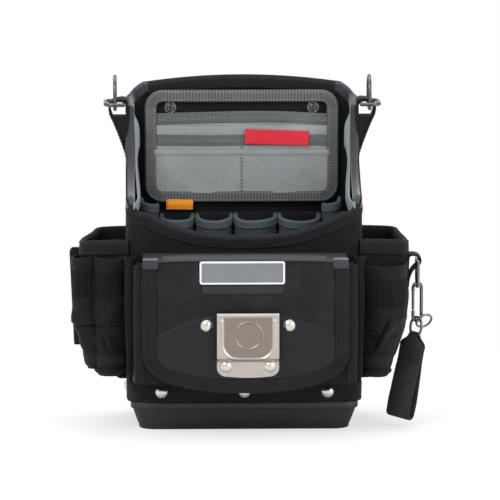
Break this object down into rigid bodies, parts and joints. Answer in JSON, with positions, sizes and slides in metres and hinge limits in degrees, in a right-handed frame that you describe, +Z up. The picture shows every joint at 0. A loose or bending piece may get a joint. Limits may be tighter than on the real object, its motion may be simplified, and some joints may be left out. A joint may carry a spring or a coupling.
{
  "type": "electrician tool pouch",
  "caption": "Black nylon tool pouch with a stiff back panel, hinged front flap, steel tape clip, side pockets, shoulder rings, moulded base and a hanging wrist strap.",
  "frame": {"origin": "middle of the underside of the moulded base", "axes": "+Z up, -Y towards the front flap, +X towards the pocket that carries the wrist strap"},
  "size_m": [0.3363, 0.1868, 0.3217],
  "materials": {
    "base_plastic": "moulded, fine grain",
    "board": "stiff board",
    "skirt_nylon": "heavy nylon weave",
    "nickel": "polished nickel",
    "black_nylon": "heavy nylon weave",
    "flap_nylon": "heavy nylon weave",
    "pad_mesh": "padded mesh",
    "webbing_black": "ribbed webbing",
    "webbing_grey": "ribbed webbing",
    "tape_slate": "folded tape",
    "lining_pale": "smooth lining",
    "antique_brass": "antique",
    "binding_grey": "bound edge",
    "pocket_grey": "grey nylon",
    "label_red": "woven, bare",
    "tag_orange": "woven, bare",
    "loop_slate": "bound nylon",
    "smooth_patch": "smooth reinforced",
    "label_silver": "moulded, bare",
    "rubber_black": "matt",
    "clip_steel": "brushed",
    "gunmetal": "dark nickel",
    "ring_steel": "nickel"
  },
  "bodies": {
    "bag": {"base_tray": "base_plastic", "floor_board": "board", "base_skirt": "skirt_nylon", "base_rivets": "nickel", "front_wall": "black_nylon", "left_side_wall": "black_nylon", "right_side_wall": "black_nylon", "back_panel": "black_nylon", "back_pad": "pad_mesh", "belt_tunnel": "webbing_black", "rim_binding": "webbing_grey", "side_bindings": "tape_slate", "top_binding": "webbing_black", "side_linings": "lining_pale", "lining_rivets": "antique_brass", "tool_panel": "black_nylon", "panel_frame": "binding_grey", "slip_pocket_high": "pocket_grey", "slip_pocket_middle": "pocket_grey", "slip_pocket_low": "pocket_grey", "panel_rivets": "antique_brass", "fabric_label": "label_red", "small_tag": "tag_orange", "loop_strip": "loop_slate", "corner_loops": "loop_slate", "tool_loop_1": "loop_slate", "tool_loop_2": "loop_slate", "tool_loop_3": "loop_slate", "tool_loop_4": "loop_slate", "pouch_face": "black_nylon", "pouch_gussets": "webbing_grey", "pouch_floor": "black_nylon", "flap_seam": "black_nylon", "left_pocket": "black_nylon", "left_rear_board": "black_nylon", "left_tubes": "flap_nylon", "driver_sleeves": "flap_nylon", "right_pocket": "black_nylon", "right_lower_pocket": "flap_nylon", "hem_bands": "webbing_grey", "shoulder_tabs": "webbing_black", "ring_tab": "webbing_black"},
    "flap": {"front_flap": "flap_nylon", "flap_binding": "webbing_grey", "flap_patch": "smooth_patch", "label_plate": "label_silver", "rubber_strip": "rubber_black", "tape_clip": "clip_steel", "flap_rivets": "nickel"},
    "left_upright_ring_body": {"left_upright_ring": "gunmetal"},
    "left_flat_ring_body": {"left_flat_ring": "gunmetal"},
    "right_upright_ring_body": {"right_upright_ring": "gunmetal"},
    "right_flat_ring_body": {"right_flat_ring": "gunmetal"},
    "pocket_ring_body": {"pocket_ring": "ring_steel"},
    "snap_hook_body": {"snap_hook": "ring_steel"},
    "hook_gate_body": {"hook_gate": "ring_steel"},
    "strap_ring_body": {"strap_ring": "ring_steel"},
    "spare_ring_body": {"spare_ring": "ring_steel"},
    "wrist_strap_body": {"wrist_strap": "webbing_grey"}
  },
  "joints": [
    {"name": "flap_hinge", "type": "hinge", "parent": "bag", "child": "flap", "pos_m": [0, -0.0625, 0.1645], "axis": [-1, 0, 0], "range_deg": [0, 90]},
    {"name": "left_upright_ring_swing", "type": "hinge", "parent": "bag", "child": "left_upright_ring_body", "pos_m": [-0.119, 0.035, 0.291], "axis": [0, -1, 0], "range_deg": [-6, 24]},
    {"name": "left_flat_ring_lift", "type": "hinge", "parent": "bag", "child": "left_flat_ring_body", "pos_m": [-0.11105, 0.035, 0.2952], "axis": [0, 1, 0], "range_deg": [0, 12]},
    {"name": "right_upright_ring_swing", "type": "hinge", "parent": "bag", "child": "right_upright_ring_body", "pos_m": [0.119, 0.035, 0.291], "axis": [0, 1, 0], "range_deg": [-6, 24]},
    {"name": "right_flat_ring_lift", "type": "hinge", "parent": "bag", "child": "right_flat_ring_body", "pos_m": [0.11105, 0.035, 0.2952], "axis": [0, -1, 0], "range_deg": [0, 12]},
    {"name": "pocket_ring_swing", "type": "hinge", "parent": "bag", "child": "pocket_ring_body", "pos_m": [0.161, -0.035, 0.156], "axis": [0, -1, 0], "range_deg": [0, 75]},
    {"name": "hook_swing", "type": "hinge", "parent": "pocket_ring_body", "child": "snap_hook_body", "pos_m": [0.161, -0.035, 0.1305], "axis": [0.5, -0.866, 0], "range_deg": [0, 30]},
    {"name": "gate_press", "type": "hinge", "parent": "snap_hook_body", "child": "hook_gate_body", "pos_m": [0.15702, -0.0373, 0.1103], "axis": [-0.5, 0.866, 0], "range_deg": [0, 18], "stiffness_Nm_per_rad": 0.02, "springref_deg": -11.46},
    {"name": "strap_ring_swing", "type": "hinge", "parent": "snap_hook_body", "child": "strap_ring_body", "pos_m": [0.161, -0.035, 0.0987], "axis": [0, -1, 0], "range_deg": [0, 24]},
    {"name": "spare_ring_swing", "type": "hinge", "parent": "strap_ring_body", "child": "spare_ring_body", "pos_m": [0.16355, -0.0389, 0.10022], "axis": [0.3396, -0.75, -0.5676], "range_deg": [-12, 25]},
    {"name": "wrist_strap_swing", "type": "hinge", "parent": "strap_ring_body", "child": "wrist_strap_body", "pos_m": [0.15842, -0.035, 0.08408], "axis": [0.4924, -0.866, -0.0868], "range_deg": [-4, 12]}
  ]
}
